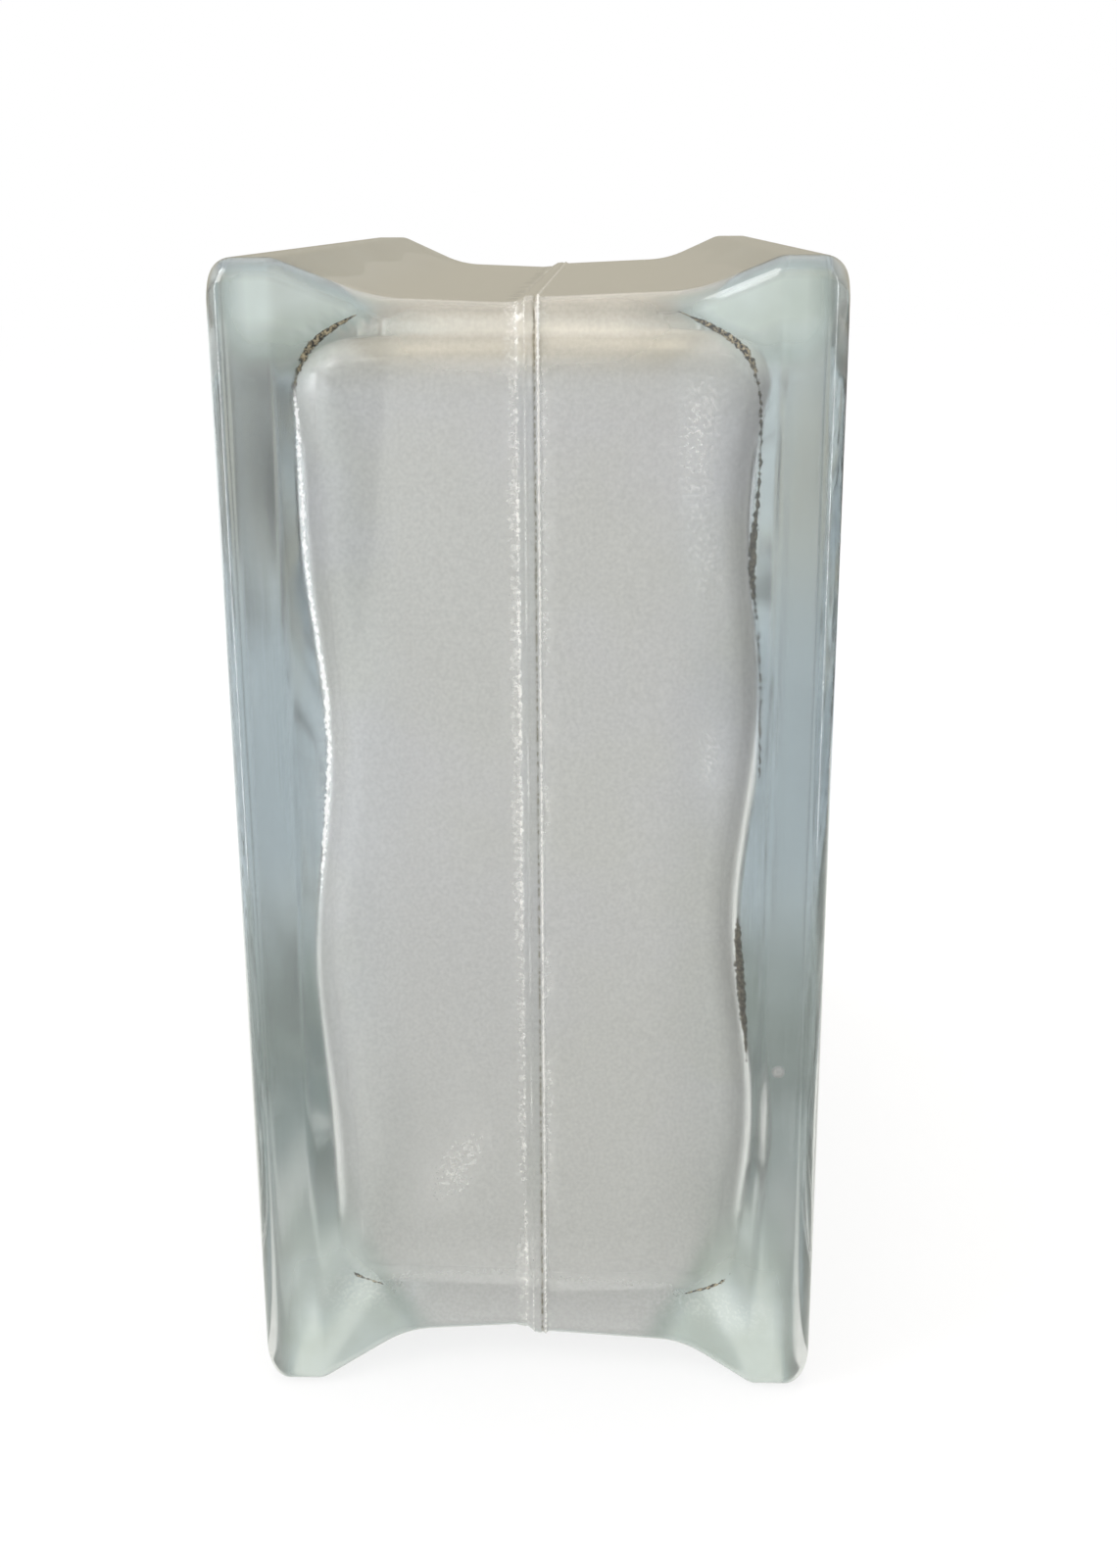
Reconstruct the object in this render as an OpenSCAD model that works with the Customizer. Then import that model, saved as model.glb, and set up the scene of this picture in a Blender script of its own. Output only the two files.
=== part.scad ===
// Hollow glass block for walls and windows.
// Two halves, pressed in one mould, are fused edge to edge into one sealed piece of glass.
// The block stands on one edge: X runs from face to face, Y along that edge and Z up.
// The origin is in the middle of the edge that it stands on.

/* [Block] */
// Height of the faces
block_h = 197; // [140:1:300]
// Length of the faces
block_l = 197; // [140:1:300]
// Thickness from outer face to outer face
block_t = 98.5; // [80:0.5:130]
// Radius of the four corners, seen from the face
corner_r = 3.5; // [2:0.5:8]

/* [Mortar channel] */
// Depth of the channel beside the seam, on the fuller half
channel_d = 6.2; // [4:0.1:9]
// Width of the flat land on the edge of each flange
land_w = 5; // [3:0.5:8]
// Rounding between the outer face and the land
rim_r = 4.5; // [2:0.5:7]
// Rounding between the land and the slope of the flange
lip_r = 5; // [2:0.5:10]
// Rounding between the slope of the flange and the channel floor
floor_r = 24; // [10:1:36]
// Angle between the land and the slope of the flange
slope_angle = 23; // [18:1:40]
// Draft of the channel floor, which is deepest at the seam
draft_angle = 2.3; // [0.5:0.1:4]

/* [Seam] */
// Width of the bead where the halves are fused
seam_w = 4.4; // [3:0.1:8]
// Swell of the bead
seam_h = 0.6; // [0.3:0.1:2]
// Swell of the bead on the inside of the walls
inner_seam_h = 0.7; // [0.3:0.1:2]
// How much further in the walls of the first half stand, on the left of the seam
seam_step = 0.9; // [0:0.1:1.5]

/* [Cavity] */
// Thickness of the side walls beside the seam
wall_t = 4.6; // [4:0.1:12]
// Thickness of the face plates, at the mean level of the waves
plate_t = 8.9; // [8:0.1:16]
// Rounding between the side walls and the face plates
cavity_r = 9.5; // [4:0.5:12]
// Radius of the four corners of the cavity, seen from the face
cavity_corner_r = 11; // [10:0.5:24]
// How far each side wall leans into the cavity between the seam and the face plate
cavity_draft = 1.2; // [0.2:0.1:2]

/* [Waves] */
// Height of the waves on the inside of the face plates, from the mean level
wave_h = 2.1; // [0.5:0.1:4]
// Distance from crest to crest
wave_pitch = 59; // [45:1:120]

/* [Hidden] */

// Trains of waves: share of the height, angle at which they run across the plate, and start angle
wave_train_shares = [[0.7, 33, -25], [0.3, 108, 120]];

// Least corner radius of the rings that close the cavity, as a share of its own
least_corner_share = 0.1;

// Flat steps that stand for each rounded stretch, for a straight side of the cavity and for a plate
bead_steps = 8;
floor_steps = 5;
lip_steps = 4;
rim_steps = 9;
corner_steps = 5;
edge_steps = 4;
round_steps = 5;
side_steps = 16;
plate_steps = 10;

half_t = block_t/2;
middle = [0, 0, block_h/2];
cavity_l = block_l - 2*(channel_d + wall_t);
cavity_h = block_h - 2*(channel_d + wall_t);

seam_foot = seam_w/2;
rim_start = half_t - rim_r;
land_end = rim_start - land_w;
lip_end = [land_end - lip_r*sin(slope_angle), lip_r*(1 - cos(slope_angle))];

// Angles from first to last, in that many steps
function sweep(first, last, steps) = [for (i = [0:steps]) first + (last - first)*i/steps];

// Where the slope and the floor of a channel this deep would meet if nothing rounded them
function knee(depth) =
    let (x = (lip_end.y + lip_end.x*tan(slope_angle) - depth - seam_foot*tan(draft_angle))
             /(tan(slope_angle) - tan(draft_angle)))
    [x, depth - (x - seam_foot)*tan(draft_angle)];

function floor_centre(depth) =
    knee(depth)
    + floor_r*tan((slope_angle - draft_angle)/2)*[-cos(draft_angle), sin(draft_angle)]
    - floor_r*[sin(draft_angle), cos(draft_angle)];

// One half from the foot of the seam to its face: distance from the seam plane and depth below the land
function edge_profile(depth) = concat(
    [[seam_foot, depth]],
    [for (a = sweep(draft_angle, slope_angle, floor_steps))
        floor_centre(depth) + floor_r*[sin(a), cos(a)]],
    [for (a = sweep(slope_angle, 0, lip_steps))
        [land_end - lip_r*sin(a), lip_r*(1 - cos(a))]],
    [for (a = sweep(0, 90, rim_steps))
        [rim_start + rim_r*sin(a), rim_r*(1 - cos(a))]]);

// The bead swells between its two feet, which lie at different depths
bead = [for (i = [1:bead_steps - 1])
    let (t = i/bead_steps)
    [seam_w*(t - 1/2), channel_d + seam_step*(1 - t) - seam_h*sin(180*t)]];

function reversed(list) = [for (i = [len(list) - 1:-1:0]) list[i]];

// Both halves from face to face
whole_profile = concat(
    [for (p = reversed(edge_profile(channel_d + seam_step))) [-p.x, p.y]],
    bead,
    edge_profile(channel_d));

// How far the block reaches in a direction turned from Y towards Z, where its edge lies this deep
function reach(turn, depth) =
    (block_l/2 - depth - corner_r)*abs(cos(turn)) + (block_h/2 - depth - corner_r)*abs(sin(turn)) + corner_r;

// Section across the block in that direction: both flanges and the channels on two sides
module section(turn) {
    upper = [for (p = whole_profile) [p.x, reach(turn, p.y)]];
    polygon(concat(upper, [for (p = reversed(upper)) [p.x, -p.y]]));
}

// Points round a rectangle with rounded corners, with its straight sides in that many steps
function rounded_rectangle(l, h, r, steps) =
    let (centres = [[l/2 - r, h/2 - r], [r - l/2, h/2 - r], [r - l/2, r - h/2], [l/2 - r, r - h/2]])
    [for (q = [0:3])
        let (side_start = centres[q] + r*[cos(90*(q + 1)), sin(90*(q + 1))],
             side = centres[(q + 1)%4] - centres[q])
        each concat(
            [for (a = sweep(90*q, 90*(q + 1), corner_steps)) centres[q] + r*[cos(a), sin(a)]],
            [for (i = [1:1:steps - 1]) side_start + side*i/steps])];

// The sections of all directions trim each other, so that the edges are rounded where the channels meet
module outer_body() {
    translate(middle) intersection_for (turn = sweep(0, 180 - 90/edge_steps, 2*edge_steps - 1))
        rotate([turn, 0, 0]) linear_extrude(2*(block_l + block_h), center = true) section(turn);
}

// Height of the waves at a place on the plate, from its middle
function wave(y, z) = wave_h*[for (t = wave_train_shares) t[0]]
    *[for (t = wave_train_shares) cos(360*(y*cos(t[1]) + z*sin(t[1]))/wave_pitch + t[2])];

// Distance from the seam plane to a plate. The second half is the first one turned over about its diagonal
function plate_x(side, p) = half_t - plate_t - (side < 0 ? wave(p.x, p.y) : wave(p.y, p.x));

// Ring of the cavity that lies this far inside its widest outline
function cavity_ring(inset) =
    let (r = max(cavity_corner_r - inset, least_corner_share*cavity_corner_r))
    rounded_rectangle(cavity_l - 2*inset, cavity_h - 2*inset, r, side_steps);

// Ring on a plate or its rounding, this far short of the plate
function plate_ring(side, outline, short) =
    [for (p = outline) [side*(plate_x(side, p) - short), p.x, p.y]];

// Rings of one end of the cavity, from the side wall to the middle of the plate
function end_rings(side, inset) = concat(
    [for (a = sweep(0, 90, round_steps))
        plate_ring(side, cavity_ring(inset + cavity_r*(1 - cos(a))), cavity_r*(1 - sin(a)))],
    [for (i = [1:plate_steps - 1])
        plate_ring(side, cavity_ring(inset + cavity_r)*(1 - i/plate_steps), 0)]);

function wall_ring(x, inset) = [for (p = cavity_ring(inset)) [x, p.x, p.y]];

// Sealed space between the halves: wavy plates at both ends, and the inner bead of the seam between them
module cavity() {
    rings = concat(
        reversed(end_rings(-1, seam_step + cavity_draft)),
        [wall_ring(-seam_foot, seam_step), wall_ring(0, seam_step/2 + inner_seam_h), wall_ring(seam_foot, 0)],
        end_rings(1, cavity_draft));
    n = len(rings[0]);
    first = n*len(rings);
    last = first + 1;
    points = concat(
        [for (ring = rings) each ring],
        [[-plate_x(-1, [0, 0]), 0, 0], [plate_x(1, [0, 0]), 0, 0]]);
    strips = [for (k = [0:len(rings) - 2], i = [0:n - 1])
        let (j = (i + 1)%n, a = k*n + i, b = k*n + j)
        each [[b, a, b + n], [b + n, a, a + n]]];
    ends = [for (i = [0:n - 1])
        let (j = (i + 1)%n, k = first - n)
        each [[first, i, j], [last, k + j, k + i]]];
    translate(middle) polyhedron(points, concat(strips, ends));
}

module glass_block() {
    color([0.72, 0.78, 0.75], 0.6) difference() {
        outer_body();
        cavity();
    }
}

glass_block();
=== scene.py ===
import math
import bpy
import numpy as np
from mathutils import Euler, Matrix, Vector, noise


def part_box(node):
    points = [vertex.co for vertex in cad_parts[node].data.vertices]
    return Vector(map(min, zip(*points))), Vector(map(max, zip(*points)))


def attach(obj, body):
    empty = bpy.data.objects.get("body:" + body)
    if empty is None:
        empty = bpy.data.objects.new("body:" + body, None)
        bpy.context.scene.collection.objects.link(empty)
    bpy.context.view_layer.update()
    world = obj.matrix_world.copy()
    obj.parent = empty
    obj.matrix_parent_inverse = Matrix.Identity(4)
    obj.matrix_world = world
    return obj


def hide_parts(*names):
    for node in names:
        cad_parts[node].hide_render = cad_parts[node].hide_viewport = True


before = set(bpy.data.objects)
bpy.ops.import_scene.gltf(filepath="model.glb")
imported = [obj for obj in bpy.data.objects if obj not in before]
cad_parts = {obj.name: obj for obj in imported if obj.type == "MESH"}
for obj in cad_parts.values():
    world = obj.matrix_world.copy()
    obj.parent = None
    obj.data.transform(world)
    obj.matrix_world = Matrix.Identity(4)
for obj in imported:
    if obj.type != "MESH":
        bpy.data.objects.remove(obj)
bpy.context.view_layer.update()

mm = 0.001
low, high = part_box("glass_block")
print("frame loaded, block", [round(h - l, 4) for l, h in zip(low, high)])


# sizes in millimetres, the same as in the part's source
blockShape = {
    "halfT": (high[0] - low[0])/2/mm,
    "halfL": (high[1] - low[1])/2/mm,
    "halfH": (high[2] - low[2])/2/mm,
    "cornerR": 3.5,
    "channelD": 6.2,
    "landW": 5.0,
    "rimR": 4.5,
    "lipR": 5.0,
    "floorR": 24.0,
    "slope": math.radians(23),
    "draft": math.radians(2.3),
    "seamW": 4.4,
    "seamH": 0.6,
    "innerSeamH": 0.7,
    "seamStep": 0.9,
    "wallT": 4.6,
    "plateT": 8.9,
    "cavityR": 9.5,
    "cavityCornerR": 11.0,
    "leastCornerShare": 0.1,
    "cavityDraft": 1.2,
    "waveH": 2.1,
    "wavePitch": 59.0,
    "waveTrains": [(0.7, 33.0, -25.0), (0.3, 108.0, 120.0)],  # share, direction, start
}

# how finely the mesh follows the shape
meshSteps = {
    "floorArc": 8,
    "lip": 6,
    "rim": 12,
    "bead": 22,
    "longest": 2.0,  # millimetres between points along a slope
    "side": 140,
    "corner": 12,
    "faceInset": 0.6,  # millimetres from the rim to a flat ring that keeps the face plane
    "cavitySide": 48,
    "cavityCorner": 10,
    "cavityRound": 15,
    "plate": 30,
    "wall": 12,
    "innerBead": 8,
}


def sweep(first, last, steps):
    return [first + (last - first)*i/steps for i in range(steps + 1)]


def fade(value, stretch):
    return np.interp(value, *stretch)  # a stretch is a list of places and a list of strengths there


def edgeProfile(depth, s):
    # one half from the foot of the seam to its face, as (distance from the seam plane, depth below the land)
    slope, draft, floorR, lipR, rimR = (s[name] for name in ("slope", "draft", "floorR", "lipR", "rimR"))
    foot = s["seamW"]/2
    rimStart = s["halfT"] - rimR
    landEnd = rimStart - s["landW"]
    tanS, tanD = math.tan(slope), math.tan(draft)
    lipX = landEnd - lipR*math.sin(slope)
    lipD = lipR*(1 - math.cos(slope))
    kneeX = (lipD + lipX*tanS - depth - foot*tanD)/(tanS - tanD)
    kneeD = depth - (kneeX - foot)*tanD
    reach = floorR*math.tan((slope - draft)/2)
    cx = kneeX - reach*math.cos(draft) - floorR*math.sin(draft)
    cd = kneeD + reach*math.sin(draft) - floorR*math.cos(draft)
    path = [(foot, depth)]
    for a in sweep(draft, slope, meshSteps["floorArc"]):
        path.append((cx + floorR*math.sin(a), cd + floorR*math.cos(a)))
    for a in sweep(slope, 0, meshSteps["lip"]):
        path.append((landEnd - lipR*math.sin(a), lipR*(1 - math.cos(a))))
    for a in sweep(0, math.pi/2, meshSteps["rim"]):
        path.append((rimStart + rimR*math.sin(a), rimR*(1 - math.cos(a))))
    out = [path[0]]
    for a, b in zip(path, path[1:]):  # long straight stretches get points between
        n = max(1, round(math.dist(a, b)/meshSteps["longest"]))
        out += [(a[0] + (b[0] - a[0])*i/n, a[1] + (b[1] - a[1])*i/n) for i in range(1, n + 1)]
    return out


def wholeProfile(s):
    left = [(-x, d) for x, d in reversed(edgeProfile(s["channelD"] + s["seamStep"], s))]
    bead = [(s["seamW"]*(t - 0.5), s["channelD"] + s["seamStep"]*(1 - t) - s["seamH"]*math.sin(math.pi*t))
            for t in sweep(0, 1, meshSteps["bead"])[1:-1]]
    return left + bead + edgeProfile(s["channelD"], s)


def roundedSquare(halfL, halfH, r, sideSteps, cornerSteps):
    centres = [(halfL - r, halfH - r), (r - halfL, halfH - r), (r - halfL, r - halfH), (halfL - r, r - halfH)]
    points = []
    for q in range(4):
        for i in range(cornerSteps + 1):
            a = math.pi/2*(q + i/cornerSteps)
            points.append((centres[q][0] + r*math.cos(a), centres[q][1] + r*math.sin(a)))
        a = math.pi/2*(q + 1)
        c, d = centres[q], centres[(q + 1) % 4]
        for i in range(1, sideSteps):
            t = i/sideSteps
            points.append((c[0] + (d[0] - c[0])*t + r*math.cos(a), c[1] + (d[1] - c[1])*t + r*math.sin(a)))
    return np.array(points)


# what pressing and fusing left along the seam, in millimetres
seamMarks = {
    # place across the bead, half width, height, how ragged
    "lines": [(-2.3, 0.3, 0.22, 0.9), (-0.5, 0.18, 0.12, 0.6),
              (1.0, 0.2, -0.12, 0.2), (1.5, 0.22, 0.22, 0.15)],
    # place across the bead, half width, strength, how patchy
    # the row at 1.6 is a painted highlight line along the right edge of the bead
    "dots": [(-1.9, 0.36, 0.95, 0.5), (-0.6, 0.14, 0.5, 1.0),
             (1.6, 0.15, 3.5, 0.3), (2.4, 0.22, 0.5, 1.8)],
    "groove": (1.0, 0.2, 1.1),  # place, half width and strength of the painted shade in a groove
    "beyond": 1.0,  # how far past its feet the bead is marked
    "lineNoise": [(0.55, 0.4, 1.0), (1.3, 3.1, 0.6)],  # scale along the seam, start, share
    "lineApart": 7.3,
    "raggedness": 1.4,
    "dotNoise": (0.09, 1.7),  # scale along the seam, start
    "dotApart": 9.0,
    "patchiness": 2.2,
    "dotMost": 1.5,
}


def ridge(x, place, width):
    return math.exp(-((x - place)/width)**2)


def seamRelief(x, run):
    height = 0
    for k, (place, width, rise, ragged) in enumerate(seamMarks["lines"]):
        bump = sum(share*noise.noise(Vector((run*scale, seamMarks["lineApart"]*k, start)))
                   for scale, start, share in seamMarks["lineNoise"])
        height += rise*(1 + ragged*seamMarks["raggedness"]*bump)*ridge(x, place, width)
    return height


def seamDots(x, runs):
    scale, start = seamMarks["dotNoise"]
    total = np.zeros(len(runs))
    for place, width, strength, patchy in seamMarks["dots"]:
        row = place*seamMarks["dotApart"]
        along = np.array([noise.noise(Vector((run*scale, row, start))) for run in runs])
        patches = np.clip(1 + patchy*seamMarks["patchiness"]*along, 0, seamMarks["dotMost"])
        total += strength*ridge(x, place, width)*patches
    return total


# haze on the walls of the cavity, in millimetres and radians
hazeMarks = {
    "rim": 1.6,  # strength on the rounding between wall and plate, against 1 on the walls; above 1 the haze there is darkened as painted shade
    "round": [0.15, 0.62, 0.78, 0.9],  # angles round it where the haze starts to rise, is full, falls, ends
    "corner": ([-20, -9], [0, 0.45]),  # angle gained towards the upper and lower walls, by distance from them
    # where the haze ends as seen from the front: heights, and places across
    "edge": ([6, 12, 20, 35, 60, 174, 180.5, 183, 185, 186.5, 188, 191],
             [20, 23, 28, 33, 36, 36, 35, 33.5, 31.5, 29, 26, 20]),
}

# thin milky film and dust in the channels, and a painted lit band with painted shade below the upper edge, as
# places in millimetres and strengths
filmMarks = {
    "floor": ([20, 36], [1, 0]),  # by distance from the seam, as all that are named across
    "beadEdge": 0.3,
    "beadShare": 0.5,
    "lowUp": ([2, 10, 40], [2, 1.6, 0]),  # by height above the lower edge
    "lowAcross": ([30, 40], [1, 0]),
    "topDown": ([0, 2, 8, 15], [1.4, 2.4, 2.4, 0]),  # a painted lit band, by depth below the upper edge
    "topAcross": ([14, 34], [1, 0]),
    "endsUp": ([0, 12, 45], [3, 2.8, 0]),
    "endsDown": ([0, 3.5, 9, 18], [0, 2.8, 2.8, 0]),
    "endsOutside": ([-4, 4], [0, 1]),  # by distance beyond the edge of the haze
    "endsAcross": ([43, 47], [1, 0]),
    "underUp": ([0.5, blockShape["cornerR"]], [1, 0]),
    "underAcross": ([40, 44], [2.2, 0]),
    "underDust": 0.4,
    "dustSeen": ([0, 1], [0, 1]),
    "leastFilm": 0.1,
}


def filmAt(x, z, depth, s):
    # film and dust on one ring, thickest underneath and near the floor
    f = filmMarks
    across = abs(x)
    up = z + s["halfH"] - depth
    down = 2*s["halfH"] - 2*depth - up
    outside = across - fade(z + s["halfH"], hazeMarks["edge"])
    floor = np.full(len(z), fade(across, f["floor"]))
    if across < s["seamW"]/2 - f["beadEdge"]:
        floor *= f["beadShare"]
    near = fade(up, f["lowUp"])*fade(across, f["lowAcross"])
    # the painted lit band with painted shade below the upper edge
    top = fade(down, f["topDown"])*fade(across, f["topAcross"])
    ends = np.maximum(fade(up, f["endsUp"]), fade(down, f["endsDown"]))
    ends = ends*fade(outside, f["endsOutside"])*fade(across, f["endsAcross"])
    under = fade(up, f["underUp"])*fade(across, f["underAcross"])
    film = np.max([floor, near, top, ends, under], axis=0)
    dust = np.maximum(ends, f["underDust"]*under)/np.maximum(film, f["leastFilm"])
    return film, dust*fade(ends + under, f["dustSeen"])


def outerRings(s):
    rings = []
    marks = {"speck": [], "film": [], "dust": [], "groove": []}
    groovePlace, grooveWidth, grooveStrength = seamMarks["groove"]
    for x, d in wholeProfile(s):
        steps = meshSteps["side"], meshSteps["corner"]
        flat = roundedSquare(s["halfL"] - d, s["halfH"] - d, s["cornerR"], *steps)
        out = roundedSquare(s["halfL"] - d + 1, s["halfH"] - d + 1, s["cornerR"], *steps) - flat
        speck = np.zeros(len(flat))
        if abs(x) < s["seamW"]/2 + seamMarks["beyond"]:
            runs = np.cumsum(np.hypot(*np.diff(flat, axis=0, prepend=flat[-1:]).T))
            flat = flat + out*np.array([[seamRelief(x, run)] for run in runs])
            speck = seamDots(x, runs)
        film, dust = filmAt(x, flat[:, 1], d, s)
        # painted shade along the groove of the seam
        groove = np.full(len(flat), grooveStrength*ridge(x, groovePlace, grooveWidth))
        rings.append(np.column_stack([np.full(len(flat), x), flat]))
        for name, values in (("speck", speck), ("film", film), ("dust", dust), ("groove", groove)):
            marks[name].append(values)
    inward = 1 - meshSteps["faceInset"]/s["halfL"]
    first, last = (rings[end]*[1, inward, inward] for end in (0, -1))  # flat rings inside the rims
    bare = np.zeros(len(first))
    marks = {name: np.array([bare] + values + [bare]) for name, values in marks.items()}
    return np.array([first] + rings + [last]), marks


def waveAt(y, z, s):
    total = 0
    for share, direction, start in s["waveTrains"]:
        run = y*math.cos(math.radians(direction)) + z*math.sin(math.radians(direction))
        total = total + share*np.cos(2*math.pi*run/s["wavePitch"] + math.radians(start))
    return s["waveH"]*total


def plateX(side, yz, s):
    y, z = yz[:, 0], yz[:, 1]
    wave = waveAt(y, z, s) if side < 0 else waveAt(z, y, s)  # the same half, turned over about its diagonal
    return s["halfT"] - s["plateT"] - wave


def cavityRings(s):
    inset = s["channelD"] + s["wallT"]
    foot = s["seamW"]/2
    hazeRound = (hazeMarks["round"], [1, hazeMarks["rim"], hazeMarks["rim"], 0])

    def outline(more):
        r = max(s["cavityCornerR"] - more, s["leastCornerShare"]*s["cavityCornerR"])
        return roundedSquare(s["halfL"] - inset - more, s["halfH"] - inset - more, r,
                             meshSteps["cavitySide"], meshSteps["cavityCorner"])

    def ringAt(x, flat):
        return np.column_stack([np.broadcast_to(x, len(flat)), flat])

    def endRings(side, base):
        rings, haze = [], []
        for a in sweep(0, math.pi/2, meshSteps["cavityRound"]):  # rounding between wall and plate
            flat = outline(base + s["cavityR"]*(1 - math.cos(a)))
            rings.append(ringAt(side*(plateX(side, flat, s) - s["cavityR"]*(1 - math.sin(a))), flat))
            gained = fade(np.abs(flat[:, 1]) - s["halfH"] + inset, hazeMarks["corner"])
            haze.append(fade(a - gained, hazeRound))
        for t in sweep(1, 0, meshSteps["plate"])[1:-1]:  # the plate, in rings towards its middle
            flat = outline(base + s["cavityR"])*t
            rings.append(ringAt(side*plateX(side, flat, s), flat))
            haze.append(np.zeros(len(flat)))
        return rings, haze

    def between(first, last):
        return [first*(1 - t) + last*t for t in sweep(0, 1, meshSteps["wall"])[1:-1]]

    leftRings, leftHaze = endRings(-1, s["seamStep"] + s["cavityDraft"])
    rightRings, rightHaze = endRings(1, s["cavityDraft"])
    seam = [ringAt(foot*(2*t - 1), outline(s["seamStep"]*(1 - t) + s["innerSeamH"]*math.sin(math.pi*t)))
            for t in sweep(0, 1, meshSteps["innerBead"])]
    middle = between(leftRings[0], seam[0]) + seam + between(seam[-1], rightRings[0])
    rings = leftRings[::-1] + middle + rightRings
    haze = leftHaze[::-1] + [np.ones(len(ring)) for ring in middle] + rightHaze
    poles = [[side*plateX(side, np.zeros((1, 2)), s)[0], 0, 0] for side in (-1, 1)]
    return np.array(rings), np.array(haze), np.array(poles)


# glittering patches on the front walls, in millimetres
glitterMarks = {
    # place across, height, half width, half height, lean, strength
    "patches": [(26.5, 170, 3.5, 11, 0.1, 0.5), (28, 150, 3, 12, -0.1, 0.3),
                (29, 118, 2, 6, 0, 0.45), (-14, 41, 4.5, 8, 0.45, 0.5),
                (-34, 112, 2, 12, 0, 0.3), (-33.5, 92, 3, 8, 0, 0.25),
                (-31, 18, 6, 4, -0.3, 0.25), (31, 15, 8, 3, 0.2, 0.3)],
    "front": -60,  # only where Y is less than this
    "outerShare": 0.8,  # strength outside, against the inside of the wall
}


def glitterAt(points):
    total = np.zeros(len(points))
    x, y, z = points.T
    for across, up, wide, tall, lean, strength in glitterMarks["patches"]:
        u = (x - across - lean*(z - up))/wide
        v = (z - up)/tall
        total += strength*np.exp(-u*u - v*v)*(y < glitterMarks["front"])
    return total


# painted lines on the slopes at the front, dark painted reflections and pale painted highlights, in
# millimetres: height, place across, half width
paintedLineMarks = {
    "right": [(15, 23, 0), (16.5, 26, 0.6), (18.5, 30, 0.8), (20.5, 33, 0.7), (23.5, 35, 0),
              (62, 36.5, 0), (68, 36.2, 0.6), (74, 35.5, 0.95), (82, 34.8, 1.1), (88, 34.4, 0.9),
              (92, 34.3, 0),
              (110, 37, 0), (115, 37.2, 0.4), (131, 37, 0.45), (141, 36.3, 0.45), (143.5, 35.8, 0.5),
              (146, 35.4, 0.75), (149, 35.2, 0.9), (156, 35.4, 0.85), (161, 35.9, 0.6), (170, 36.1, 0.5),
              (176, 35.8, 0.55), (180.5, 34.8, 0.8), (183, 33.3, 1.1), (185, 31, 1.4), (186.5, 28.1, 1.4),
              (188, 25, 0.8), (189, 22, 0)],
    "left": [(17, -26, 0), (19, -29, 0.6), (21, -32, 0.6), (24, -34, 0),
             (90, -35.6, 0), (98, -34.9, 0.65), (108, -33.9, 0.8), (118, -33, 0.85), (128, -33, 0.85),
             (138, -34.1, 0.8), (150, -35.3, 0.75), (167, -35.5, 0.75), (175, -35.7, 0.75), (178, -35.8, 0.6),
             (180.5, -35, 0.7), (183, -33.8, 1), (185, -32, 1.2), (186.5, -30, 1.2), (188, -27, 0.7),
             (189, -25, 0)],
    "slope": (18, 42),  # from and to this far from the seam
    "sideStart": 10,  # further from the seam than this, a point belongs to a side
    "front": -80,  # only where Y is less than this
    "none": -1,  # half width where no line runs
}


def paintedLineAt(points, count):
    # where the line runs at each point's height, and half its width, in metres
    x, y, z = points[:count].T
    none = paintedLineMarks["none"]
    place, wide = np.zeros(len(points)), np.full(len(points), float(none))
    near, far = paintedLineMarks["slope"]
    for side, name in ((-1, "left"), (1, "right")):
        up, across, half = zip(*paintedLineMarks[name])
        here = (side*x > near) & (side*x < far) & (y < paintedLineMarks["front"])
        place[:count] += np.where(side*x > paintedLineMarks["sideStart"], np.interp(z, up, across), 0)
        wide[:count] = np.where(here, np.interp(z, up, half, left=none, right=none), wide[:count])
    return place*mm, wide*mm


# small milky bubble in the right flange, in millimetres from the middle of the block
bubbleShape = {
    "place": (41.9, -96.2, -36.0),
    "radius": 1.1,
    "rows": 8,
    "turns": 14,
}


def bubbleShell(s):
    # rings and poles, closed like the cavity
    x, y, z = s["place"]
    n, r = s["turns"], s["radius"]
    turns = np.arange(n)*2*math.pi/n
    rings = []
    for a in sweep(0, math.pi, s["rows"])[1:-1]:
        across = np.full(n, x - r*math.cos(a))
        reach = r*math.sin(a)
        rings.append(np.column_stack([across, y + reach*np.cos(turns), z + reach*np.sin(turns)]))
    return np.array(rings), np.array([[x - r, y, z], [x + r, y, z]])


def stripFaces(count, n, start, flip):
    faces = []
    for k in range(count - 1):
        for i in range(n):
            j = (i + 1) % n
            a, b = start + k*n + i, start + k*n + j
            faces.append((a, b, b + n, a + n) if flip else (b, a, a + n, b + n))
    return faces


def endFaces(first, start, last, n):
    # closes both ends of a hollow with a fan of faces
    faces = []
    for i in range(n):
        j = (i + 1) % n
        faces.append((first, start + i, start + j))
        faces.append((first + 1, last + j, last + i))
    return faces


def hollowFaces(rings, n, start, poles):
    last = start + (rings - 1)*n
    return stripFaces(rings, n, start, False) + endFaces(poles, start, last, n)


# how rough the outside is, as a share of the roughest: most where the land meets the rim, least on the faces
frostMarks = {
    "start": 27.0,  # millimetres from the seam
    "shares": [0.3, 0.55, 0.8, 1, 0],  # there, before the lip, where the land and the rim start, on the face
}


def frostAt(outer, s):
    landEnd = s["halfT"] - s["rimR"] - s["landW"]
    places = [frostMarks["start"], landEnd - s["lipR"], landEnd, landEnd + s["landW"], s["halfT"]]
    return fade(np.abs(outer[:, :, 0]), (places, frostMarks["shares"])).reshape(-1)


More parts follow.
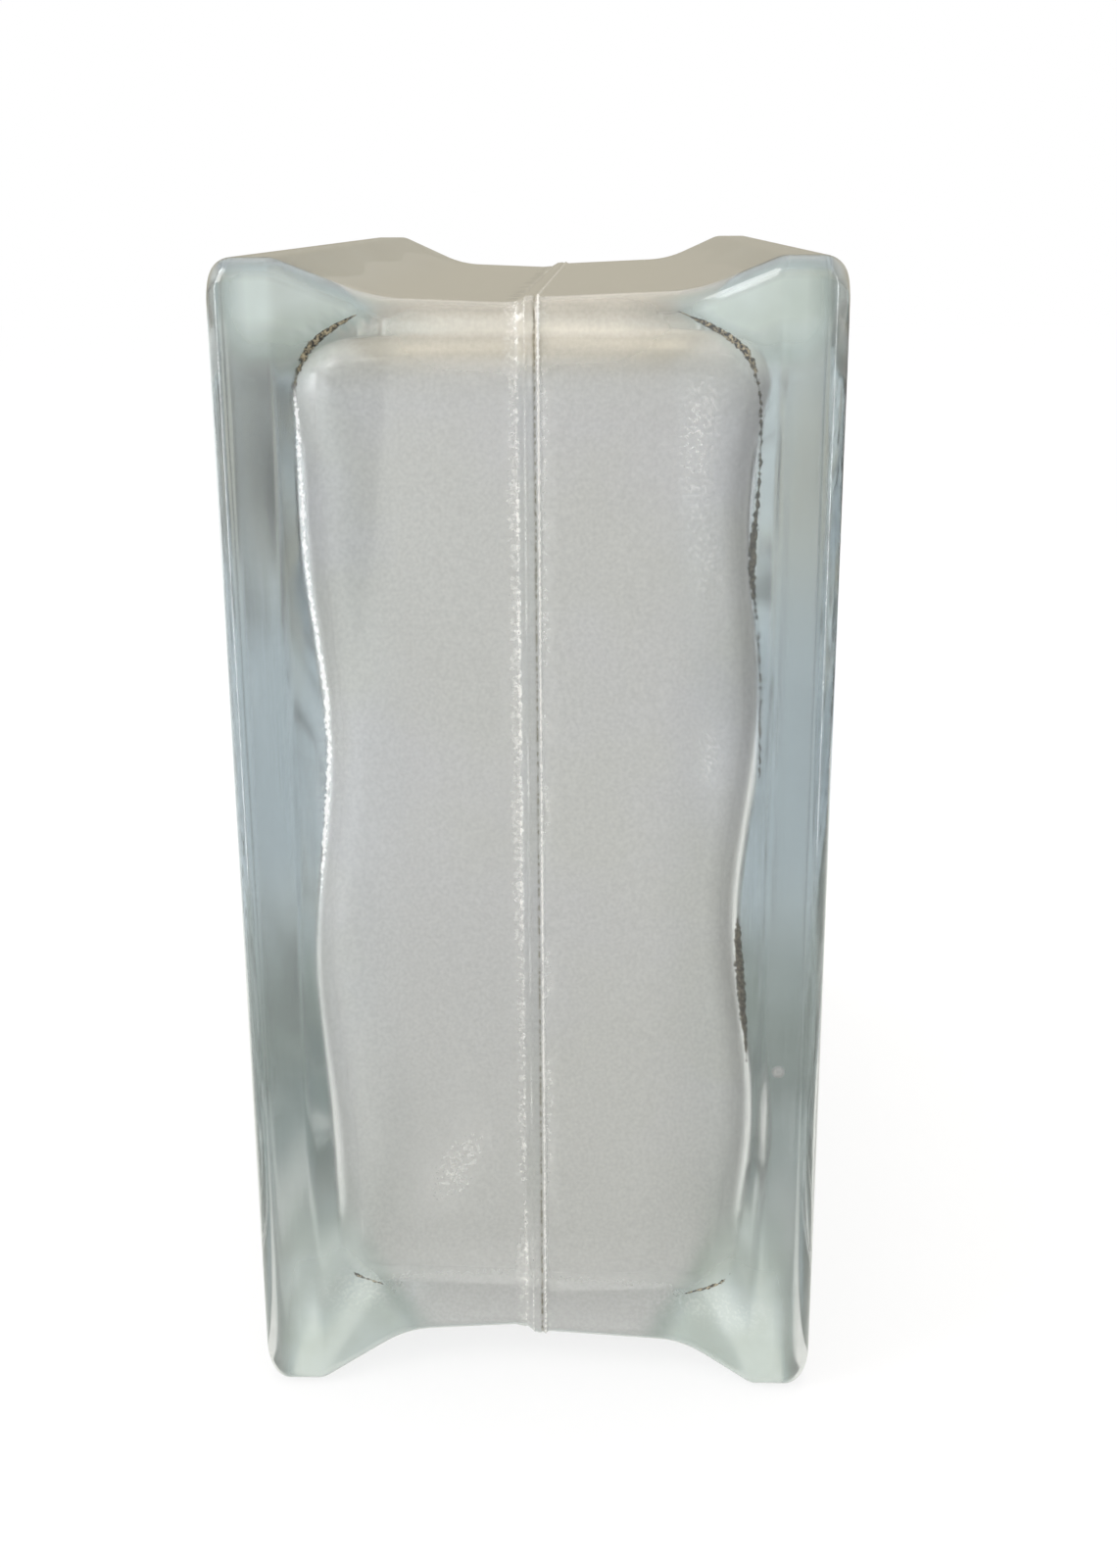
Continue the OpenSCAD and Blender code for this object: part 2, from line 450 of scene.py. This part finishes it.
def buildBlock(s):
    outer, outerMarks = outerRings(s)
    inner, innerHaze, poles = cavityRings(s)
    bubble, bubblePoles = bubbleShell(bubbleShape)
    points = np.concatenate([part.reshape(-1, 3) for part in (outer, inner, poles, bubble, bubblePoles)])
    points[:, 2] += s["halfH"]  # the block stands on the floor
    stations, n = outer.shape[:2]
    rings, m = inner.shape[:2]
    rows, turns = bubble.shape[:2]
    cavityStart = stations*n
    poleStart = cavityStart + rings*m
    bubbleStart = poleStart + len(poles)
    faces = stripFaces(stations, n, 0, True)
    faces.append(tuple(range(n))[::-1])
    faces.append(tuple(range(cavityStart - n, cavityStart)))
    faces += hollowFaces(rings, m, cavityStart, poleStart)
    faces += hollowFaces(rows, turns, bubbleStart, bubbleStart + rows*turns)
    mesh = bpy.data.meshes.new("glassBlock")
    mesh.from_pydata((points*mm).tolist(), [], faces)
    mesh.update()

    marks = {name: np.zeros(len(points)) for name in ("haze", "frost", "speck", "film", "dust", "groove")}
    marks["haze"][cavityStart:poleStart] = innerHaze.reshape(-1)
    marks["haze"][bubbleStart:] = 1
    marks["frost"][:cavityStart] = frostAt(outer, s)
    for name, values in outerMarks.items():
        marks[name][:cavityStart] = values.reshape(-1)
    glitter = glitterAt(points)
    glitter[:cavityStart] *= glitterMarks["outerShare"]
    marks["speck"] += glitter
    marks["paintedLinePlace"], marks["paintedLineWide"] = paintedLineAt(points, cavityStart)
    for name, values in marks.items():
        mesh.attributes.new(name, "FLOAT", "POINT").data.foreach_set("value", values)
    mesh.polygons.foreach_set("use_smooth", [True]*len(mesh.polygons))
    piece = bpy.data.objects.new("glassBlockShell", mesh)
    bpy.context.scene.collection.objects.link(piece)
    print("block mesh", len(points), "points", len(faces), "faces")
    return piece


# glass, haze, film, dust and grit, with heights and widths in metres
# a ramp is two results and the two values that give them, a noise is its scale, detail and stretch
glassLook = {
    "ior": 1.52,
    "clear": (1.0, 1.0, 1.0, 1),
    "tint": (0.53, 0.604, 0.612, 1),
    "density": 6.5,
    "skin": 1.0,
    "skinRoughness": 0.06,
    "clearRoughness": 0.03,
    "edgeRoughness": 0.26,
    "grainNoise": (1500.0, 2.0),
    "streakNoise": (1.0, 3.0, (420, 26, 26)),
    "streakBump": 0.08,
    "streakDepth": 0.0005,
    "hazeCool": (0.93, 0.915, 0.945, 1),
    # warm for random patches and towards the bottom, and as painted warm light from above towards the top
    "hazeWarm": (0.905, 0.897, 0.845, 1),
    "hazeNoise": (28.0, 3.0),
    "hazePatches": ((0.0, 1.0), (0.4, 0.6)),
    "hazePaintedTopLight": ((0.0, 1.0), (0.17, 0.182)),
    "hazeLower": ((0.9, 0.0), (0.035, 0.1)),
    "hazeGrain": ((0.93, 1.07), (0.35, 0.65)),
    "hazyRoughness": 0.5,
    "hazyTransmission": 0.45,
    "rimTransmission": 0.12,
    # painted shade: the haze on the roundings is darkened by this share
    "rimShade": 0.68,
    # the dots' white, which also paints a highlight line along the seam
    "speckle": (0.98, 0.96, 0.92, 1),
    "glitter": ((0.3, 1.0), (0.48, 0.64)),
    "film": (0.88, 0.875, 0.865, 1),
    # painted warm light on the upper edge and the top, painted shade and a painted highlight band just below
    # it
    "filmPaintedWarmLight": (0.74, 0.69, 0.6, 1),
    "filmPaintedShade": (0.62, 0.58, 0.5, 1),
    "filmPaintedHighlight": (0.92, 0.86, 0.75, 1),
    "filmTones": [(0.17, "film"), (0.1785, "film"), (0.1822, "filmPaintedShade"),  # by height
                  (0.1846, "filmPaintedShade"), (0.1858, "filmPaintedHighlight"), (0.1868, "filmPaintedHighlight"),
                  (0.1887, "filmPaintedShade"), (0.1898, "filmPaintedShade"), (0.191, "filmPaintedWarmLight")],
    "filmGrain": ((0.95, 1.05), (0.35, 0.65)),
    "filmHides": ((1.0, 0.2), (0.0, 4.0)),
    "dust": (0.54, 0.61, 0.555, 1),
    "dustPale": (0.64, 0.715, 0.685, 1),
    "dustNoise": (70.0, 3.0),
    "dustPatches": ((0.0, 1.0), (0.38, 0.62)),
    # painted shade in the seam's groove
    "paintedShading": (0.26, 0.22, 0.14, 1),
    "grooveShadeNoise": (900.0, 2.0),
    "grooveShadePatches": ((0.3, 1.0), (0.42, 0.56)),
    # painted dark reflections, golden glints and pale highlights for the lines on the front slopes
    "paintedDarkReflection": (0.02, 0.018, 0.014, 1),
    "paintedGoldGlint": (0.36, 0.3, 0.19, 1),
    "paintedHighlight": (0.98, 0.99, 1.0, 1),
    "ragNoise": (1200.0, 2.0),
    "ragWidth": ((0.0, 0.0005), (0.3, 0.7)),
    "lineSharpness": 2600.0,
    "lineColour": ((0.0, 1.0), (0.0, 0.5)),
    "lineHides": ((1.0, 0.3), (0.5, 1.0)),
    "goldNoise": (2000.0, 2.0),
    "goldPatches": ((0.0, 1.0), (0.42, 0.66)),
    "goldHigh": ((0.25, 1.0), (0.1765, 0.181)),
    "goldLow": ((1.0, 0.0), (0.03, 0.05)),
    "paleSide": ((1.0, 0.0), (-0.01, 0.0)),
    "paleAbove": ((0.0, 1.0), (0.05, 0.06)),
    "paleBelow": ((1.0, 0.0), (0.1755, 0.1785)),
}
mixSockets = {"factor": 0, "first": 6, "second": 7, "result": 2}  # the colour sockets of a mix node


def mixColour(tree, factor, first, second):
    mix = tree.nodes.new("ShaderNodeMix")
    mix.data_type = "RGBA"
    tree.links.new(factor, mix.inputs[mixSockets["factor"]])
    for name, value in (("first", first), ("second", second)):
        socket = mix.inputs[mixSockets[name]]
        if isinstance(value, tuple):
            socket.default_value = value
        else:
            tree.links.new(value, socket)
    return mix.outputs[mixSockets["result"]]


def ramped(tree, value, ends=(0.0, 1.0), over=(0.0, 1.0)):
    node = tree.nodes.new("ShaderNodeMapRange")
    tree.links.new(value, node.inputs["Value"])
    node.inputs["From Min"].default_value, node.inputs["From Max"].default_value = over
    node.inputs["To Min"].default_value, node.inputs["To Max"].default_value = ends
    return node.outputs["Result"]


def mathNode(tree, operation, first, second, clamp=True):
    node = tree.nodes.new("ShaderNodeMath")
    node.operation = operation
    node.use_clamp = clamp
    for socket, value in zip(node.inputs, (first, second)):
        if isinstance(value, (int, float)):
            socket.default_value = value
        else:
            tree.links.new(value, socket)
    return node.outputs[0]


def axesOf(tree, coordinates):
    axes = tree.nodes.new("ShaderNodeSeparateXYZ")
    tree.links.new(tree.nodes.new("ShaderNodeTexCoord").outputs[coordinates], axes.inputs[0])
    return axes.outputs


def attribute(tree, name):
    node = tree.nodes.new("ShaderNodeAttribute")
    node.attribute_name = name
    return node.outputs["Fac"]


def noiseAt(tree, scale, detail, stretch=None):
    place = tree.nodes.new("ShaderNodeTexCoord").outputs["Object"]
    if stretch:
        mapping = tree.nodes.new("ShaderNodeMapping")
        mapping.inputs["Scale"].default_value = stretch
        tree.links.new(place, mapping.inputs["Vector"])
        place = mapping.outputs["Vector"]
    node = tree.nodes.new("ShaderNodeTexNoise")
    node.inputs["Scale"].default_value = scale
    node.inputs["Detail"].default_value = detail
    tree.links.new(place, node.inputs["Vector"])
    return node.outputs["Fac"]


def shaded(tree, colour, value):
    node = tree.nodes.new("ShaderNodeHueSaturation")
    tree.links.new(value, node.inputs["Value"])
    tree.links.new(colour, node.inputs["Color"])
    return node.outputs["Color"]


def hazeColour(tree, look, grain, milky, height):
    # cool and warm patches with a fine grain, warmer towards the bottom, painted warm light from above
    # towards the top, painted shade on the roundings
    patches = ramped(tree, noiseAt(tree, *look["hazeNoise"]), *look["hazePatches"])
    # painted warm light from above on the upper walls
    upper = ramped(tree, height, *look["hazePaintedTopLight"])
    lower = ramped(tree, height, *look["hazeLower"])
    warm = mathNode(tree, "MAXIMUM", patches, mathNode(tree, "ADD", upper, lower))
    colour = mixColour(tree, warm, look["hazeCool"], look["hazeWarm"])
    # painted shade on the roundings between wall and plate
    rim = ramped(tree, milky, (1.0, look["rimShade"]), (1.0, hazeMarks["rim"]))
    value = mathNode(tree, "MULTIPLY", ramped(tree, grain, *look["hazeGrain"]), rim, clamp=False)
    return shaded(tree, colour, value)


def filmColour(tree, look, grain, height):
    # the film's tone by height: painted shade, a painted highlight band and painted warm light where the
    # front turns into the top
    tones = tree.nodes.new("ShaderNodeValToRGB")
    stops = tones.color_ramp.elements
    stops.remove(stops[1])
    lowest, highest = look["filmTones"][0][0], look["filmTones"][-1][0]
    for i, (place, name) in enumerate(look["filmTones"]):
        stop = stops.new((place - lowest)/(highest - lowest)) if i else stops[0]
        stop.color = look[name]
    tree.links.new(ramped(tree, height, over=(lowest, highest)), tones.inputs[0])
    return shaded(tree, tones.outputs["Color"], ramped(tree, grain, *look["filmGrain"]))


def paintedLineMask(tree, look, across, place, wide):
    # 1 in the middle of a line, 0 outside its ragged edges
    right = mathNode(tree, "SUBTRACT", across, place)  # each is 0 on its other side
    left = mathNode(tree, "SUBTRACT", place, across)
    off = mathNode(tree, "ADD", right, left)
    rag = ramped(tree, noiseAt(tree, *look["ragNoise"]), *look["ragWidth"])
    inside = mathNode(tree, "SUBTRACT", wide, mathNode(tree, "ADD", off, rag))
    return mathNode(tree, "MULTIPLY", inside, look["lineSharpness"])


def paintedLineColour(tree, look, across, height):
    # painted dark reflection with painted golden glints towards the corners, a pale painted highlight along
    # the left side
    upper = ramped(tree, height, *look["goldHigh"])
    lower = ramped(tree, height, *look["goldLow"])
    bits = ramped(tree, noiseAt(tree, *look["goldNoise"]), *look["goldPatches"])
    gold = mathNode(tree, "MULTIPLY", bits, mathNode(tree, "ADD", upper, lower))
    above = ramped(tree, height, *look["paleAbove"])
    below = ramped(tree, height, *look["paleBelow"])
    side = ramped(tree, across, *look["paleSide"])
    pale = mathNode(tree, "MULTIPLY", side, mathNode(tree, "MULTIPLY", above, below))
    dark = mixColour(tree, gold, look["paintedDarkReflection"], look["paintedGoldGlint"])
    return mixColour(tree, pale, dark, look["paintedHighlight"])


def glassColour(tree, look, marks, grain, milky, dots, line, axes):
    across, height = axes["X"], axes["Z"]
    film = filmColour(tree, look, grain, height)
    colour = mixColour(tree, ramped(tree, marks["film"]), look["clear"], film)
    clouds = ramped(tree, noiseAt(tree, *look["dustNoise"]), *look["dustPatches"])
    dust = mixColour(tree, clouds, look["dust"], look["dustPale"])
    colour = mixColour(tree, marks["dust"], colour, dust)
    haze = hazeColour(tree, look, grain, milky, height)
    colour = mixColour(tree, ramped(tree, marks["haze"]), colour, haze)
    patches = ramped(tree, noiseAt(tree, *look["grooveShadeNoise"]), *look["grooveShadePatches"])
    # painted shade in the seam's groove, in patches
    colour = mixColour(tree, mathNode(tree, "MULTIPLY", marks["groove"], patches), colour, look["paintedShading"])
    paintedShading = paintedLineColour(tree, look, across, height)
    # the painted lines: dark reflections with golden glints, pale highlights
    colour = mixColour(tree, ramped(tree, line, *look["lineColour"]), colour, paintedShading)
    return mixColour(tree, dots, colour, look["speckle"])


def glassRoughness(tree, look, marks, milky):
    edge = ramped(tree, marks["frost"], (look["clearRoughness"], look["edgeRoughness"]))
    dusty = ramped(tree, marks["dust"], (0.0, look["edgeRoughness"]))
    hazy = ramped(tree, milky, (0.0, look["hazyRoughness"]))
    return mathNode(tree, "MAXIMUM", mathNode(tree, "MAXIMUM", edge, dusty), hazy)


def glassTransmission(tree, look, marks, milky, line):
    hazy, rim = look["hazyTransmission"], look["rimTransmission"]
    clear = mathNode(tree, "ADD", ramped(tree, milky, (1.0 - hazy, 0.0)),
                     ramped(tree, milky, (hazy, rim), (1.0, hazeMarks["rim"])))
    clear = mathNode(tree, "MULTIPLY", clear, ramped(tree, marks["film"], *look["filmHides"]))
    return mathNode(tree, "MULTIPLY", clear, ramped(tree, line, *look["lineHides"]))


def pressedGlass(look):
    mat = bpy.data.materials.new("pressedGlass")
    mat.use_nodes = True
    tree = mat.node_tree
    shader = tree.nodes["Principled BSDF"]
    shader.inputs["IOR"].default_value = look["ior"]
    shader.inputs["Coat Weight"].default_value = look["skin"]
    shader.inputs["Coat Roughness"].default_value = look["skinRoughness"]
    shader.inputs["Coat IOR"].default_value = look["ior"]
    names = ("haze", "frost", "speck", "film", "groove", "dust", "paintedLinePlace", "paintedLineWide")
    marks = {name: attribute(tree, name) for name in names}
    axes = axesOf(tree, "Object")
    grain = noiseAt(tree, *look["grainNoise"])
    dots = mathNode(tree, "MULTIPLY", marks["speck"], ramped(tree, grain, *look["glitter"]))
    milky = mathNode(tree, "MAXIMUM", marks["haze"], dots, clamp=False)  # 0 clear, 1 hazy, more on roundings
    line = paintedLineMask(tree, look, axes["X"], marks["paintedLinePlace"], marks["paintedLineWide"])
    colour = glassColour(tree, look, marks, grain, milky, dots, line, axes)
    tree.links.new(colour, shader.inputs["Base Color"])
    tree.links.new(glassRoughness(tree, look, marks, milky), shader.inputs["Roughness"])
    tree.links.new(glassTransmission(tree, look, marks, milky, line), shader.inputs["Transmission Weight"])

    bump = tree.nodes.new("ShaderNodeBump")  # streaks that the mould left along the edges
    bump.inputs["Strength"].default_value = look["streakBump"]
    bump.inputs["Distance"].default_value = look["streakDepth"]
    tree.links.new(noiseAt(tree, *look["streakNoise"]), bump.inputs["Height"])
    tree.links.new(bump.outputs["Normal"], shader.inputs["Normal"])
    inside = tree.nodes.new("ShaderNodeVolumeAbsorption")
    inside.inputs["Color"].default_value = look["tint"]
    inside.inputs["Density"].default_value = look["density"]
    tree.links.new(inside.outputs["Volume"], tree.nodes["Material Output"].inputs["Volume"])
    return mat


block = buildBlock(blockShape)
block.data.materials.append(pressedGlass(glassLook))
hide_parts("glass_block")
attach(block, "root")
print("glass done")


# floor, room and lamps; places in metres
studio = {
    "white": (1.0, 1.0, 1.0, 1),
    "floorHalf": 3.0,
    "floorRoughness": 0.9,
    "floorGlow": 0.8,
    "floorNear": (0.8, 0.81, 0.77, 1),  # what the glass sees of the floor, then further off and to the sides
    "floorTones": [("Y", (0.12, 0.25), (0.7, 0.77, 0.82, 1)), ("Y", (0.6, 0.95), (0.78, 0.74, 0.63, 1)),
                   ("X", (-0.12, -0.25), (0.95, 1.0, 1.0, 1)), ("X", (0.26, 0.4), (0.06, 0.055, 0.05, 1))],
    "roomLevel": ((1.0, 0.0), (0.4, 0.85)),
    "roomBehind": ((0.0, 1.0), (0.2, 0.8)),
    "roomBeside": ((0.0, 1.0), (0.35, 0.55)),
    "roomMirrored": (0.47, 0.44, 0.36, 1),
    "roomThroughGlass": (0.9, 0.97, 1.0, 1),
    "roomRight": (0.2, 0.21, 0.2, 1),
    "roomStrength": 1.0,
    "aim": (0, 0, 0.1),
    "key": {"place": (-0.9, -0.5, 0.7), "size": (0.5, 0.9), "power": 4.8},
    "top": {"place": (0, 0.15, 1.0), "size": (0.6, 0.6), "power": 3.5, "colour": (1.0, 0.88, 0.7)},
    "strips": [(-0.303, -0.15), (0.303, -0.217)],
    "strip": {"size": (0.012, 0.5), "power": 0.14},
    "stripLift": 0.005,
    "bounces": 40,  # light runs a long way inside the plates
    "glassBounces": 32,
}


def rayKinds(tree):
    # rays straight from the camera, rays mirrored by the glass, and rays that came through it
    rays = tree.nodes.new("ShaderNodeLightPath").outputs
    mirrored = mathNode(tree, "SUBTRACT", rays["Is Glossy Ray"], rays["Is Transmission Ray"])
    return rays["Is Camera Ray"], mirrored, rays["Is Transmission Ray"]


def buildWorld(look):
    world = bpy.data.worlds.new("studioWorld")
    bpy.context.scene.world = world
    world.use_nodes = True
    tree = world.node_tree
    way = axesOf(tree, "Generated")
    level = ramped(tree, way["Z"], *look["roomLevel"])
    behind = mathNode(tree, "MULTIPLY", ramped(tree, way["Y"], *look["roomBehind"]), level)
    right = mathNode(tree, "MULTIPLY", ramped(tree, way["X"], *look["roomBeside"]), level)
    mirrored, through = rayKinds(tree)[1:]
    room = mixColour(tree, mathNode(tree, "MULTIPLY", behind, mirrored), look["white"], look["roomMirrored"])
    beside = mixColour(tree, right, look["roomThroughGlass"], look["roomRight"])
    background = tree.nodes["Background"]
    tree.links.new(mixColour(tree, through, room, beside), background.inputs["Color"])
    background.inputs["Strength"].default_value = look["roomStrength"]


def paleFloor(look):
    mat = bpy.data.materials.new("paleFloor")
    mat.use_nodes = True
    tree = mat.node_tree
    shader = tree.nodes["Principled BSDF"]
    shader.inputs["Base Color"].default_value = look["white"]
    shader.inputs["Roughness"].default_value = look["floorRoughness"]
    shader.inputs["Specular IOR Level"].default_value = 0.0
    glow = tree.nodes.new("ShaderNodeEmission")
    mix = tree.nodes.new("ShaderNodeMixShader")
    camera, mirrored, through = rayKinds(tree)
    glass = mathNode(tree, "ADD", mirrored, through)
    place = axesOf(tree, "Object")
    tone = look["floorNear"]
    for axis, over, colour in look["floorTones"]:
        tone = mixColour(tree, ramped(tree, place[axis], over=over), tone, colour)
    tree.links.new(mixColour(tree, glass, look["white"], tone), glow.inputs["Color"])
    seen = mathNode(tree, "MULTIPLY", camera, look["floorGlow"])  # the floor itself keeps the shadow
    tree.links.new(mathNode(tree, "ADD", seen, glass), mix.inputs[0])
    tree.links.new(shader.outputs[0], mix.inputs[1])
    tree.links.new(glow.outputs[0], mix.inputs[2])
    tree.links.new(mix.outputs[0], tree.nodes["Material Output"].inputs["Surface"])
    return mat


def buildFloor(look):
    h = look["floorHalf"]
    mesh = bpy.data.meshes.new("studioFloor")
    mesh.from_pydata([(-h, -h, 0), (h, -h, 0), (h, h, 0), (-h, h, 0)], [], [(0, 1, 2, 3)])
    floor = bpy.data.objects.new("studioFloor", mesh)
    bpy.context.scene.collection.objects.link(floor)
    floor.data.materials.append(paleFloor(look))


def addLamp(name, place, aim, size, power, colour=(1, 1, 1)):
    lamp = bpy.data.lights.new(name, "AREA")
    lamp.shape = "RECTANGLE"
    lamp.size, lamp.size_y = size
    lamp.energy = power
    lamp.color = colour
    piece = bpy.data.objects.new(name, lamp)
    piece.location = place
    piece.rotation_euler = (Vector(aim) - piece.location).to_track_quat("-Z", "Y").to_euler()
    piece.visible_camera = False
    bpy.context.scene.collection.objects.link(piece)
    return piece


def buildStudio(look):
    scene = bpy.context.scene
    scene.view_settings.view_transform = "Standard"
    scene.cycles.max_bounces = look["bounces"]
    scene.cycles.glossy_bounces = look["glassBounces"]
    scene.cycles.transmission_bounces = look["glassBounces"]
    buildWorld(look)
    buildFloor(look)
    addLamp("keyLamp", aim=look["aim"], **look["key"])
    topLamp = addLamp("topLamp", aim=look["aim"], **look["top"])
    topLamp.visible_glossy = False
    for i, (x, y) in enumerate(look["strips"]):  # tall narrow lamps, mirrored as lines in the upright edges
        z = look["strip"]["size"][1]/2 + look["stripLift"]
        strip = addLamp(f"stripLamp{i}", place=(x, y, z), aim=(0, 0, z), **look["strip"])
        strip.visible_diffuse = False
        strip.visible_transmission = False


buildStudio(studio)

photoCamera = {
    "place": (0.01329, -0.38812, 0.20393),
    "turn": (72.82, 0.287, 1.631),  # degrees
    "lens": 42.818,
    "clip": 0.01,
}
camera = bpy.data.objects.new("photoCamera", bpy.data.cameras.new("photoCamera"))
camera.data.lens = photoCamera["lens"]
camera.data.clip_start = photoCamera["clip"]
camera.location = photoCamera["place"]
camera.rotation_euler = Euler([math.radians(a) for a in photoCamera["turn"]])
bpy.context.scene.collection.objects.link(camera)
bpy.context.scene.camera = camera
print("camera and light set")
